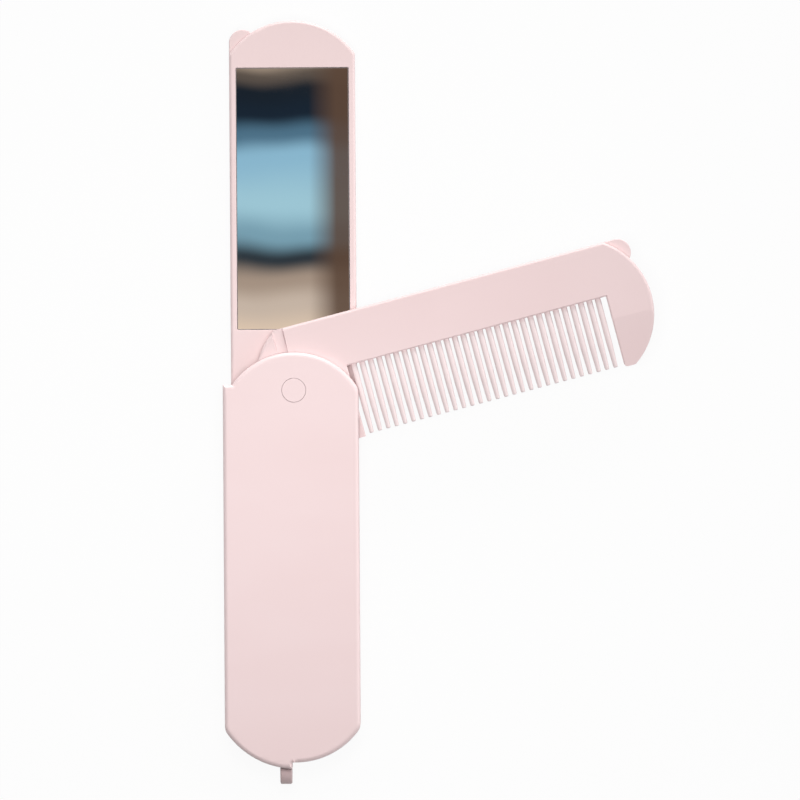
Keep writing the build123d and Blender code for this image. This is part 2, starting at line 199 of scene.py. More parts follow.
def makeFloor(look):
    bpy.ops.mesh.primitive_plane_add(size=look["size"], location=(0, 0, 0))
    floor = bpy.context.object
    floor.name = "studioFloor"
    material, nodes, links = startMaterial("whiteSweep")
    material.cycles.emission_sampling = 'NONE'    # its glow is only for what looks at it, never a lamp
    shader = nodes["Principled BSDF"]
    shader.inputs["Base Color"].default_value = (*look["color"], 1)
    shader.inputs["Roughness"].default_value = look["roughness"]
    shader.inputs["Specular IOR Level"].default_value = 0.0
    glow = nodes.new("ShaderNodeEmission")
    rays = nodes.new("ShaderNodeLightPath").outputs
    seen = calculate(nodes, links, 'MAXIMUM', rays["Is Camera Ray"], rays["Is Glossy Ray"])
    seenThrough = calculate(nodes, links, 'MAXIMUM', seen, rays["Is Transmission Ray"])
    blend = nodes.new("ShaderNodeMixShader")
    links.new(calculate(nodes, links, 'MULTIPLY', seenThrough, look["glow"]), blend.inputs["Fac"])
    links.new(shader.outputs["BSDF"], blend.inputs[1])
    links.new(glow.outputs["Emission"], blend.inputs[2])
    links.new(blend.outputs["Shader"], nodes["Material Output"].inputs["Surface"])
    floor.data.materials.append(material)


def makeLamp(name, look):
    bpy.ops.object.light_add(type='AREA', location=look["place"])
    lamp = bpy.context.object
    lamp.name = name
    lamp.data.shape = 'RECTANGLE'
    lamp.data.size, lamp.data.size_y = look["size"]
    lamp.data.energy = look["power"]
    lamp.data.color = look["color"]
    lamp.rotation_euler = lamp.location.to_track_quat('Z', 'Y').to_euler()    # it shines at the pivot
    lamp.visible_camera = False
    lamp.visible_glossy = look["shows"]


def makeWorld(look):
    world = bpy.data.worlds.new("studioWorld")
    world.use_nodes = True
    nodes, links = world.node_tree.nodes, world.node_tree.links
    nodes.clear()
    turn = nodes.new("ShaderNodeVectorMath")
    turn.operation = 'DOT_PRODUCT'
    turn.inputs[1].default_value = look["towards"]
    links.new(nodes.new("ShaderNodeTexCoord").outputs["Generated"], turn.inputs[0])
    side = nodes.new("ShaderNodeMapRange")
    side.interpolation_type = 'SMOOTHSTEP'
    side.inputs["From Min"].default_value = -look["reach"]
    side.inputs["From Max"].default_value = look["reach"]
    links.new(turn.outputs["Value"], side.inputs["Value"])
    shade = mixColors(nodes, links, side.outputs["Result"], look["dimSide"], look["brightSide"])
    lighting = nodes.new("ShaderNodeBackground")
    links.new(shade, lighting.inputs["Color"])
    backdrop = nodes.new("ShaderNodeBackground")
    backdrop.inputs["Color"].default_value = (*look["white"], 1)
    blend = nodes.new("ShaderNodeMixShader")
    links.new(nodes.new("ShaderNodeLightPath").outputs["Is Camera Ray"], blend.inputs["Fac"])
    links.new(lighting.outputs["Background"], blend.inputs[1])
    links.new(backdrop.outputs["Background"], blend.inputs[2])
    out = nodes.new("ShaderNodeOutputWorld")
    links.new(blend.outputs["Shader"], out.inputs["Surface"])
    bpy.context.scene.world = world


# the card that the mirror looks up at: a plain soft gradient in dark, pale blue and tan
cardLook = {
    "place": (-0.012, 0.073, 0.9),
    "size": (0.40, 0.40),
    "seenHeight": 0.104,    # the stretch of the card that fills the glass from the camera's side
    "seenWidth": 0.042,
    "stops": (
        (0.00, (0.380, 0.290, 0.220)),
        (0.05, (0.110, 0.085, 0.070)),
        (0.11, (0.011, 0.017, 0.026)),
        (0.20, (0.011, 0.020, 0.034)),
        (0.28, (0.080, 0.170, 0.250)),
        (0.36, (0.270, 0.490, 0.640)),
        (0.52, (0.360, 0.590, 0.690)),
        (0.63, (0.200, 0.360, 0.450)),
        (0.71, (0.030, 0.040, 0.050)),
        (0.79, (0.400, 0.300, 0.235)),
        (0.88, (0.600, 0.480, 0.395)),
        (1.00, (0.800, 0.610, 0.460)),
    ),
    "sideTone": (0.115, 0.066, 0.044),    # warmer and darker towards the right
    "sideRange": (0.14, 0.38),    # shares of the seen width, from its middle
    "sideShare": 0.93,
    "drift": 0.055,    # how far the bands wander
    "driftScale": 9.0,
}


def makeCard(look):
    bpy.ops.mesh.primitive_plane_add(size=1, location=look["place"], rotation=(pi, 0, 0))
    card = bpy.context.object
    card.name = "mirrorCard"
    card.scale = (*look["size"], 1)
    material, nodes, links = startMaterial("cardGradient")
    material.cycles.emission_sampling = 'NONE'    # the card is only there for the glass to show
    nodes.clear()
    coords = nodes.new("ShaderNodeTexCoord").outputs["Object"]
    axes = splitAxes(nodes, links, coords)
    width, height = look["size"]
    end = look["seenHeight"] / 2 / height
    along = spread(nodes, links, axes["Y"], (-end, end), (0, 1))
    wander = noiseAt(nodes, links, coords, look["driftScale"], detail=1)
    drift = spread(nodes, links, wander, (0, 1), (-look["drift"], look["drift"]))
    ramp = nodes.new("ShaderNodeValToRGB")
    ramp.color_ramp.interpolation = 'EASE'
    elements = ramp.color_ramp.elements
    for index, (place, color) in enumerate(look["stops"]):
        stop = elements[index] if index < 2 else elements.new(place)    # a new ramp has two stops
        stop.position = place
        stop.color = (*color, 1)
    links.new(calculate(nodes, links, 'ADD', along, drift), ramp.inputs["Fac"])
    sideRange = [share * look["seenWidth"] / width for share in look["sideRange"]]
    side = spread(nodes, links, axes["X"], sideRange, (0, look["sideShare"]))
    glow = nodes.new("ShaderNodeEmission")
    links.new(tint(nodes, links, side, ramp.outputs["Color"], look["sideTone"]), glow.inputs["Color"])
    out = nodes.new("ShaderNodeOutputMaterial")
    links.new(glow.outputs["Emission"], out.inputs["Surface"])
    card.data.materials.append(material)
    card.visible_camera = False
    card.visible_diffuse = False
    card.visible_shadow = False


makeFloor(floorLook)
for lampName, lampLook in lampLooks.items():
    makeLamp(lampName, lampLook)
makeWorld(worldLook)
makeCard(cardLook)
print("studio made")

# modelling steps that the mouldings share


def only(piece):
    bpy.ops.object.select_all(action='DESELECT')
    piece.select_set(True)
    bpy.context.view_layer.objects.active = piece


def editAll(piece):
    only(piece)
    bpy.ops.object.mode_set(mode='EDIT')
    bpy.ops.mesh.select_all(action='SELECT')


def leaveEdit():
    bpy.ops.object.mode_set(mode='OBJECT')


def settle():
    # puts a piece's place, turn and size into its mesh
    bpy.ops.object.transform_apply(location=True, rotation=True, scale=True)
    return bpy.context.object


def addCylinder(x, y, radius, low, high, sides):
    middle = (x, y, (low + high) / 2)
    bpy.ops.mesh.primitive_cylinder_add(
        vertices=sidesOf[sides], radius=radius, depth=high - low, location=middle)
    return settle()


def addBlock(low, high):
    middle = [(a + b) / 2 for a, b in zip(low, high)]
    bpy.ops.mesh.primitive_cube_add(size=1, location=middle, scale=[b - a for a, b in zip(low, high)])
    return settle()


def cutAway(piece, place, normal):
    # removes what lies past a plane, on the side that its normal points to
    editAll(piece)
    bpy.ops.mesh.bisect(plane_co=place, plane_no=normal, use_fill=True, clear_outer=True)
    leaveEdit()


def mergeFlats(piece):
    # makes each flat side one face
    editAll(piece)
    bpy.ops.mesh.dissolve_limited(angle_limit=radians(flatAngle))
    bpy.ops.mesh.normals_make_consistent(inside=False)
    leaveEdit()


def cutUpFlats(piece):
    # evenly shaped triangles, so that a bore in a flat side leaves no sliver across it
    editAll(piece)
    bpy.ops.mesh.quads_convert_to_tris(quad_method='BEAUTY', ngon_method='BEAUTY')
    leaveEdit()


def hullOf(name, parts):
    # one closed convex piece round all the parts
    bpy.ops.object.select_all(action='DESELECT')
    for part in parts:
        part.select_set(True)
    bpy.context.view_layer.objects.active = parts[0]
    bpy.ops.object.join()
    piece = bpy.context.object
    piece.name = name
    editAll(piece)
    bpy.ops.mesh.convex_hull()
    leaveEdit()
    mergeFlats(piece)
    return piece


def chooseNone(piece, kind):
    only(piece)
    bpy.ops.object.mode_set(mode='EDIT')
    bpy.ops.mesh.select_mode(type=kind)
    bpy.ops.mesh.select_all(action='DESELECT')
    leaveEdit()


def chooseEdges(piece, test):
    # goes to edit mode with just those edges chosen whose two ends pass the test
    chooseNone(piece, 'EDGE')
    points = piece.data.vertices
    for edge in piece.data.edges:
        edge.select = test(*(points[index].co for index in edge.vertices))
    bpy.ops.object.mode_set(mode='EDIT')


def roundChosen(radius, steps):
    bpy.ops.mesh.bevel(offset=radius, segments=steps, affect='EDGES', clamp_overlap=False)
    leaveEdit()


def roundEdges(piece, test, radius, steps):
    chooseEdges(piece, test)
    roundChosen(radius, steps)


def same(first, second):
    return abs(first - second) < near


def atHeight(height):
    return lambda a, b: same(a.z, height) and same(b.z, height)


def upright(a, b):
    return same(a.x, b.x) and same(a.y, b.y)


def combine(piece, tool, how):
    only(piece)
    step = piece.modifiers.new("combine", 'BOOLEAN')
    step.object = tool
    step.operation = how
    step.solver = 'EXACT'
    bpy.ops.object.modifier_apply(modifier="combine")
    bpy.data.objects.remove(tool)
    editAll(piece)
    bpy.ops.mesh.remove_doubles(threshold=weldGap)
    leaveEdit()


def turnTo(piece, angle):
    # mouldings are modelled lying along +X and then turned about the pivot
    only(piece)
    piece.rotation_euler.z = radians(angle)
    return settle()


def markFlats(piece):
    # true flats keep their own normal right up to the rounds beside them
    chooseNone(piece, 'FACE')
    for face in piece.data.polygons:
        face.select = max(abs(value) for value in face.normal) > squareOn or face.area > broadFace
    bpy.ops.object.mode_set(mode='EDIT')
    bpy.ops.mesh.mod_weighted_strength(set=True, face_strength='STRONG')
    leaveEdit()


def cutIntoCells(piece):
    # a long and very thin strip catches the light badly from far off, so none runs past a cell
    corners = [corner[:] for corner in piece.bound_box]
    for axis, normal in enumerate(((1, 0, 0), (0, 1, 0))):
        low, high = min(corner[axis] for corner in corners), max(corner[axis] for corner in corners)
        for index in range(1, int((high - low) / cellSize) + 1):
            place = [low + index * cellSize] * 3
            editAll(piece)
            bpy.ops.mesh.bisect(plane_co=place, plane_no=normal, threshold=hairline)
            leaveEdit()


def smoothSurface(piece, crease=None):
    # smooth over the rounds, true on the flats, crisp along a crease
    only(piece)
    bpy.ops.object.shade_smooth_by_angle(angle=radians(smoothAngle))
    if crease:
        chooseEdges(piece, crease)
        bpy.ops.mesh.mark_sharp()
        leaveEdit()
    markFlats(piece)
    cutIntoCells(piece)
    weights = piece.modifiers.new("flatNormals", 'WEIGHTED_NORMAL')
    weights.keep_sharp = True
    weights.use_face_influence = True
    bpy.ops.object.modifier_apply(modifier="flatNormals")


def twoArcPlate(name, look, low, high, frontRound=None, rearRound=None):
    # straight sides between two end arcs, with four corner rounds
    half, corner = look["halfWidth"], look["cornerRound"]
    parts = []
    ends = ((1, look["farRadius"], look["farReach"]), (-1, look["hubRadius"], look["hubReach"]))
    for side, radius, reach in ends:
        centre = side * (reach - radius)
        meet = (half - corner) * radius / (radius - corner)    # where the arc runs into a corner round
        cornerX = centre + side * sqrt((radius - corner)**2 - (half - corner)**2)
        arc = addCylinder(centre, 0, radius, low, high, "outline")
        for edge in (1, -1):
            cutAway(arc, (0, edge * meet, 0), (0, edge, 0))
        cutAway(arc, (cornerX, 0, 0), (-side, 0, 0))
        parts.append(arc)
        for edge in (1, -1):
            parts.append(addCylinder(cornerX, edge * (half - corner), corner, low, high, "corner"))
    plate = hullOf(name, parts)
    for height, rimRound in ((high, frontRound), (low, rearRound)):
        if rimRound:
            roundEdges(plate, atHeight(height), *rimRound)
    return plate


# what the two arms have in common: outline, thumb tab, bore and stop pocket
mirrorLow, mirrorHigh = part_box("mirror_frame")
armLook = {
    "halfWidth": mirrorHigh.x,
    "farReach": mirrorHigh.y,    # from the pivot to the far end
    "hubReach": -mirrorLow.y,
    "farRadius": 19.7 * mm,
    "hubRadius": 19.7 * mm,
    "cornerRound": 1.0 * mm,
    "frontRound": (0.8 * mm, 5),
    "rearRound": (0.5 * mm, 5),
    "boreRadius": 4.55 * mm,
    "tabRadius": 3.5 * mm,
    "tabStandOut": 2.5 * mm,    # past the end arc
    "tabRise": 0.5 * mm,    # above the arm's rear face
    "tabThickness": 1.6 * mm,
    "tabRound": (0.3 * mm, 3),
    "tabOverlap": 4.0 * mm,    # back into the arm
    "pocketRadius": 6.15 * mm,
    "pocketDepth": 1.05 * mm,
    "pocketLean": 13.0,    # how far the pocket runs past a half turn at each end
}


def addTab(arm, look, low):
    # a flat shoulder with a round end, thinner than the arm
    radius = look["tabRadius"]
    side = look["halfWidth"] - radius
    farCentre = look["farReach"] - look["farRadius"]
    tip = farCentre + sqrt(look["farRadius"]**2 - side**2) + look["tabStandOut"] - radius
    bottom, top = low + look["tabRise"], low + look["tabRise"] + look["tabThickness"]
    root = addBlock((tip - look["tabOverlap"], side - radius, bottom), (tip, side + radius, top))
    tab = hullOf("tab", [root, addCylinder(tip, side, radius, bottom, top, "bore")])
    for height in (bottom, top):
        roundEdges(tab, atHeight(height), *look["tabRound"])
    combine(arm, tab, 'UNION')


def cutBore(arm, look, low, high):
    combine(arm, addCylinder(0, 0, look["boreRadius"], low - spare, high + spare, "bore"), 'DIFFERENCE')


def cutStopPocket(arm, look, low, high):
    # an arc pocket for the stop lug, cut as two half discs that overlap
    lean = radians(look["pocketLean"])
    for side in (1, -1):
        half = addCylinder(0, 0, look["pocketRadius"], low, high, "bore")
        cutAway(half, (0, 0, 0), (-cos(lean), -side * sin(lean), 0))
        combine(arm, half, 'DIFFERENCE')


# comb arm: spine and end plate with a slanted lower half, a window, 30 teeth and a groove beside the hub
combLook = {
    "restAngle": 14.6,
    "slantFrom": -3.5 * mm,    # both faces slant from this line down
    "slantDrop": 0.95 * mm,    # what each face has lost at the lower edge
    "windowStart": 14.9 * mm,
    "endPlate": 11.5 * mm,    # what is left beyond the window
    "rootLine": 2.6 * mm,    # the spine's lower edge, where the teeth begin
    "windowEdge": (0.3 * mm, 1),
    "footRound": 1.0 * mm,
    "toothPitch": 2.25 * mm,
    "firstTooth": 16.65 * mm,
    "toothCount": 30,
    "toothWidth": 1.5 * mm,
    "toothThickness": 2.9 * mm,
    "toothEdge": (0.66 * mm, 4),
    "toothNarrows": -9.0 * mm,    # a tooth is even down to here and then tapers
    "toothTip": -15.8 * mm,
    "tipShare": (0.73, 1.0, 0.62),    # the tip's section beside the root's
    "tipRound": (0.3 * mm, 3),
    "rootOverlap": 0.5 * mm,    # how far a tooth runs up into the spine
    "hubDisc": 8.7 * mm,    # the hub keeps its whole thickness within this radius
    "grooveFrom": -1.5 * mm,
    "grooveTo": 1.0 * mm,
    "grooveDepth": 0.5 * mm,
    "grooveEase": (0.34 * mm, 1),
}


def makeTeeth(look, middle):
    # one tapered tooth with round edges, then the row
    halfWidth, halfThick = look["toothWidth"] / 2, look["toothThickness"] / 2
    root, tip = look["rootLine"] + look["rootOverlap"], look["toothTip"]
    first = look["firstTooth"]
    toothLow = (first - halfWidth, tip, middle - halfThick)
    tooth = addBlock(toothLow, (first + halfWidth, root, middle + halfThick))
    tooth.name = "teeth"
    roundEdges(tooth, lambda a, b: same(a.x, b.x) and same(a.z, b.z), *look["toothEdge"])
    editAll(tooth)
    bpy.ops.mesh.bisect(plane_co=(0, look["toothNarrows"], 0), plane_no=(0, 1, 0))
    leaveEdit()
    chooseEdges(tooth, lambda a, b: same(a.y, tip) and same(b.y, tip))
    bpy.ops.transform.resize(value=look["tipShare"], center_override=(first, tip, middle))
    roundChosen(*look["tipRound"])
    row = tooth.modifiers.new("row", 'ARRAY')
    row.count = look["toothCount"]
    row.use_relative_offset = False
    row.use_constant_offset = True
    row.constant_offset_displace = (look["toothPitch"], 0, 0)
    bpy.ops.object.modifier_apply(modifier="row")
    return tooth


def cutWindow(comb, arm, look, low, high):
    # the opening that the teeth stand in, with its rims eased and the end plate's foot rounded
    start, end = look["windowStart"], arm["farReach"] - look["endPlate"]
    root, outside, foot = look["rootLine"], -2 * arm["halfWidth"], look["footRound"]
    combine(comb, addBlock((start, outside, low - spare), (end, root, high + spare)), 'DIFFERENCE')
    footMiddle = (end + foot, foot - arm["halfWidth"])
    corner = addBlock((end - foot, outside, low - spare), (*footMiddle, high + spare))
    quarter = addCylinder(*footMiddle, foot, low - 2 * spare, high + 2 * spare, "hole")
    combine(corner, quarter, 'DIFFERENCE')
    combine(comb, corner, 'DIFFERENCE')

    def onRim(a, b):
        along = same(a.y, root) and same(b.y, root)
        across = any(same(a.x, wall) and same(b.x, wall) for wall in (start, end))
        return (along or across) and not upright(a, b)

    roundEdges(comb, onRim, *look["windowEdge"])


def cutGroove(comb, arm, look, high):
    # a shallow groove straight out from the hub disc, with its upper edges eased
    walls, grooveFloor = (look["grooveFrom"], look["grooveTo"]), high - look["grooveDepth"]
    grooveHigh = (walls[1], 2 * arm["halfWidth"], high + look["grooveDepth"])
    combine(comb, addBlock((walls[0], look["hubDisc"], grooveFloor), grooveHigh), 'DIFFERENCE')

    def onGrooveEdge(a, b):
        side = any(same(a.x, wall) and same(b.x, wall) for wall in walls)
        return side and min(a.z, b.z) > grooveFloor + near and min(a.y, b.y) > look["hubDisc"] - spare

    roundEdges(comb, onGrooveEdge, *look["grooveEase"])


def slantWedge(arm, look, face, side, slant):
    # what the slant takes off one face: a block leaning over the line where the slant begins
    reach, half = 2 * arm["farReach"], arm["halfWidth"]
    bottom, top = sorted((0, side * half))
    wedge = addBlock((-reach, -2 * half, bottom), (reach, 2 * spare, top))
    wedge.rotation_euler.x = side * slant
    wedge.location = (0, look["slantFrom"], face)
    return settle()


def makeComb(arm, look):
    low, high = (corner.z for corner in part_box("comb_arm"))
    comb = twoArcPlate("combMoulding", arm, low, high, arm["frontRound"], arm["rearRound"])
    slant = atan2(look["slantDrop"], arm["halfWidth"] + look["slantFrom"])
    for face, side in ((high, 1), (low, -1)):
        combine(comb, slantWedge(arm, look, face, side, slant), 'DIFFERENCE')
    cutWindow(comb, arm, look, low, high)
    combine(comb, addCylinder(0, 0, look["hubDisc"], low, high, "outline"), 'UNION')
    cutGroove(comb, arm, look, high)
    addTab(comb, arm, low)
    cutBore(comb, arm, low, high)
    cutStopPocket(comb, arm, high - arm["pocketDepth"], high + spare)
    combine(comb, makeTeeth(look, (low + high) / 2), 'UNION')
    smoothSurface(comb, lambda a, b: same(a.y, look["slantFrom"]) and same(b.y, look["slantFrom"]))
    return turnTo(comb, look["restAngle"])


# mirror arm: a plate with the glass sunk in its front
mirrorLook = {
    "restAngle": 90.0,
    "recessGap": 0.1 * mm,
    "recessCorner": (0.25 * mm, 6),
    "recessEdge": (0.2 * mm, 3),
    "springPocket": 7.5 * mm,
    "springDepth": 0.6 * mm,
    "glassCorner": (0.2 * mm, 6),
    "glassEdge": (0.1 * mm, 2),
}


def makeMirrorFrame(arm, look):
    low, high = mirrorLow.z, mirrorHigh.z
    glassLow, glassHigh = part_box("mirror_glass")
    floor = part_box("mirror_tape")[0].z
    plate = twoArcPlate("mirrorMoulding", arm, low, high, arm["frontRound"], arm["rearRound"])
    addTab(plate, arm, low)
    gap = look["recessGap"]
    start, end, side = glassLow.y - gap, glassHigh.y + gap, glassHigh.x + gap
    recess = addBlock((start, -side, floor), (end, side, high + spare))
    roundEdges(recess, upright, *look["recessCorner"])
    combine(plate, recess, 'DIFFERENCE')

    def onMouth(a, b):
        along = all(start - near < point.x < end + near for point in (a, b))
        across = all(abs(point.y) < side + near for point in (a, b))
        return along and across and same(a.z, high) and same(b.z, high)

    roundEdges(plate, onMouth, *look["recessEdge"])
    pocketFloor = high - look["springDepth"]
    pocket = addCylinder(0, 0, look["springPocket"], pocketFloor, high + spare, "seat")
    combine(plate, pocket, 'DIFFERENCE')
    cutBore(plate, arm, low, high)
    cutStopPocket(plate, arm, low - spare, low + arm["pocketDepth"])
    smoothSurface(plate)
    return turnTo(plate, look["restAngle"])


def makeGlass(look):
    low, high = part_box("mirror_glass")
    pane = addBlock(low, high)
    pane.name = "glassPane"
    roundEdges(pane, upright, *look["glassCorner"])
    roundEdges(pane, atHeight(high.z), *look["glassEdge"])
    smoothSurface(pane)
    return pane


# handle: two round-edged shells, with a spine wall down the left side and round to the lanyard lug
coverLow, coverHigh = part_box("front_cover")
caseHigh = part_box("rear_case")[1]
lugLow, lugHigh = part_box("lanyard_loop")
handleLook = {
    "restAngle": -90.0,
    "halfWidth": coverHigh.x,
    "hubReach": coverHigh.y,
    "farReach": 96.1 * mm,
    "farRadius": 20.1 * mm,
    "hubRadius": 19.4 * mm,
    "cornerRound": 3.5 * mm,
    "rimRound": (1.1 * mm, 6),
    "backPlate": 1.6 * mm,
    "wall": -coverLow.x - coverHigh.x,    # the plates reach out over the wall on its side alone
    "wallTop": 1.45 * mm,    # the shoulder, beside the pivot
    "wallEnd": -1.0 * mm,    # the step, beside the lug
    "stepRound": (0.5 * mm, 5),
    "seamDepth": 0.2 * mm,
    "seamHeight": 0.25 * mm,
    "cavityRun": 20 * mm,    # the cavity is cut this far past the wall's ends
    "bossRadius": 4.5 * mm,
    "bossMeet": 5.25 * mm,    # the height where the two bosses touch
    "stopRadius": 6.0 * mm,
    "stopHalfAngle": 11.0,
    "stopHeight": 1.2 * mm,
    "screwHole": 1.4 * mm,
    "capHole": 3.15 * mm,
    "capHoleFloor": 8.2 * mm,
    "insertHole": 2.13 * mm,
    "insertFloor": 2.02 * mm,
    "ribHalfWidth": 0.8 * mm,
    "ribHeight": 0.2 * mm,
    "ribFrom": 9.5 * mm,
    "ribTo": 15.0 * mm,
    "notchGap": 0.05 * mm,
    "hair": 0.006 * mm,    # keeps the wall's faces off the plate's, so the two join cleanly
}


def walledPlate(name, look, low, high, inset, longer=0):
    # the half of the handle over the spine wall, from the shoulder to the step
    half, radius = look["halfWidth"] + look["wall"] - inset, look["farRadius"] + look["wall"] - inset
    corner = look["cornerRound"] - inset
    centre = look["farRadius"] - look["farReach"]
    meet = (half - corner) * radius / (radius - corner)
    cornerY = centre - sqrt((radius - corner)**2 - (half - corner)**2)
    arc = addCylinder(0, centre, radius, low, high, "outline")
    cutAway(arc, (-meet, 0, 0), (-1, 0, 0))
    cutAway(arc, (look["wallEnd"] + longer, 0, 0), (1, 0, 0))
    cutAway(arc, (0, cornerY, 0), (0, 1, 0))
    bend = addCylinder(corner - half, cornerY, corner, low, high, "hole")
    middle = addBlock((-half, cornerY, low), (look["wallEnd"] + longer, look["wallTop"] + longer, high))
    return hullOf(name, [arc, bend, middle])


def makeShell(name, look, low, high):
    # the open outline and the walled one, joined as tall blocks and then cut to the plate's thickness
    shell = turnTo(twoArcPlate(name, look, low - spare, high + spare), look["restAngle"])
    combine(shell, walledPlate("walledHalf", look, low - 2 * spare, high + 2 * spare, 0), 'UNION')
    cutAway(shell, (0, 0, high), (0, 0, 1))
    cutAway(shell, (0, 0, low), (0, 0, -1))
    mergeFlats(shell)
    stepX, radius = look["wallEnd"], look["farRadius"]
    stepY = radius - look["farReach"] - sqrt(radius**2 - stepX**2)

    def inStep(a, b):
        return upright(a, b) and same(a.x, stepX) and same(a.y, stepY)

    roundEdges(shell, inStep, *look["stepRound"])
    return shell


def addBoss(shell, look, inside, end, stopEnd):
    # the pivot boss, and beside it the lug that stops an arm
    combine(shell, addCylinder(0, 0, look["bossRadius"], *sorted((inside, end)), "bore"), 'UNION')
    lug = addCylinder(0, 0, look["stopRadius"], *sorted((inside, stopEnd)), "stop")
    turn = radians(look["stopHalfAngle"])
    for side in (1, -1):
        cutAway(lug, (0, 0, 0), (-sin(turn), side * cos(turn), 0))
    combine(shell, lug, 'UNION')


def makeCover(look):
    inside, front = caseHigh.z, coverHigh.z
    cover = makeShell("coverMoulding", look, inside, front)
    roundEdges(cover, atHeight(front), *look["rimRound"])
    cutUpFlats(cover)
    addBoss(cover, look, inside + look["ribHeight"], look["bossMeet"], inside - look["stopHeight"])
    # click ribs on both sides of the boss
    half, depth = look["ribHalfWidth"], look["ribHeight"]
    for start, end in ((look["ribFrom"], look["ribTo"]), (-look["ribTo"], -look["ribFrom"])):
        combine(cover, addBlock((start, -half, inside - depth), (end, half, inside + depth)), 'UNION')
    screwHole = addCylinder(0, 0, look["screwHole"], look["bossMeet"] - spare, front + spare, "hole")
    combine(cover, screwHole, 'DIFFERENCE')
    capHole = addCylinder(0, 0, look["capHole"], look["capHoleFloor"], front + spare, "seat")
    combine(cover, capHole, 'DIFFERENCE')
    smoothSurface(cover)
    return cover


def makeCase(look):
    plate, top = look["backPlate"], caseHigh.z
    case = makeShell("caseMoulding", look, 0, plate)
    roundEdges(case, atHeight(0), *look["rimRound"])
    sunk, hair = plate - look["ribHeight"], look["hair"]
    wall = walledPlate("spineWall", look, sunk, top - look["seamHeight"], hair, -hair)
    combine(wall, walledPlate("seamStep", look, plate, top, look["seamDepth"], -2 * hair), 'UNION')
    cavity = walledPlate("cavity", look, plate - spare, top + spare, look["wall"], look["cavityRun"])
    combine(wall, cavity, 'DIFFERENCE')
    combine(case, wall, 'UNION')
    addBoss(case, look, sunk, look["bossMeet"], plate + look["stopHeight"])
    seat = addCylinder(0, 0, look["insertHole"], look["insertFloor"], look["bossMeet"] + spare, "hole")
    combine(case, seat, 'DIFFERENCE')
    gap = look["notchGap"]
    notchLow = (lugLow.x - gap, coverLow.y - 2 * spare, lugLow.z - gap)
    combine(case, addBlock(notchLow, (lugHigh.x + gap, lugHigh.y + gap, lugHigh.z + gap)), 'DIFFERENCE')
    smoothSurface(case)
    return case


# pivot cap: a thin disc, flush with the cover
capLook = {"edge": (0.12 * mm, 3)}


def makeCap(look):
    low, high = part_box("pivot_cap")
    cap = addCylinder(0, 0, high.x, low.z, high.z, "seat")
    cap.name = "capMoulding"
    roundEdges(cap, atHeight(high.z), *look["edge"])
    smoothSurface(cap)
    return cap


# lanyard lug: a flat eye, modelled lying down and then stood on edge
lugLook = {
    "eyeRadius": 2.8 * mm,
    "eyeRound": (0.45 * mm, 4),
    "holeRadius": 1.2 * mm,
    "holeEase": (0.15 * mm, 2),
    "foot": 0.8 * mm,    # the square end that the case holds
    "standAngle": 90.0,
}


def makeLug(look):
    middleZ = (lugLow.z + lugHigh.z) / 2
    radius, hole, eyeY = look["eyeRadius"], look["holeRadius"], lugLow.y + look["eyeRadius"]
    sides = (lugLow.x, lugHigh.x)
    neck = addBlock((-middleZ - radius, eyeY, sides[0]), (radius - middleZ, lugHigh.y, sides[1]))
    lug = hullOf("lugMoulding", [neck, addCylinder(-middleZ, eyeY, radius, *sides, "bore")])
    for side in sides:
        roundEdges(lug, atHeight(side), *look["eyeRound"])
    footLow = (-lugHigh.z, lugHigh.y - look["foot"], sides[0])
    combine(lug, addBlock(footLow, (-lugLow.z, lugHigh.y, sides[1])), 'UNION')
    bore = addCylinder(-middleZ, eyeY, hole, sides[0] - spare, sides[1] + spare, "hole")
    combine(lug, bore, 'DIFFERENCE')

    def onHole(a, b):
        reach = [sqrt((point.x + middleZ)**2 + (point.y - eyeY)**2) for point in (a, b)]
        return max(reach) < hole + near and same(a.z, b.z)

    roundEdges(lug, onHole, *look["holeEase"])
    smoothSurface(lug)
    only(lug)
    lug.rotation_euler.y = radians(look["standAngle"])
    return settle()


combMoulding = makeComb(armLook, combLook)
print("comb modelled,", len(combMoulding.data.polygons), "faces")
mirrorMoulding = makeMirrorFrame(armLook, mirrorLook)
glassPane = makeGlass(mirrorLook)
print("mirror modelled,", len(mirrorMoulding.data.polygons), "faces")
coverMoulding = makeCover(handleLook)
caseMoulding = makeCase(handleLook)
capMoulding = makeCap(capLook)
lugMoulding = makeLug(lugLook)
print("handle modelled,", len(coverMoulding.data.polygons) + len(caseMoulding.data.polygons), "faces")

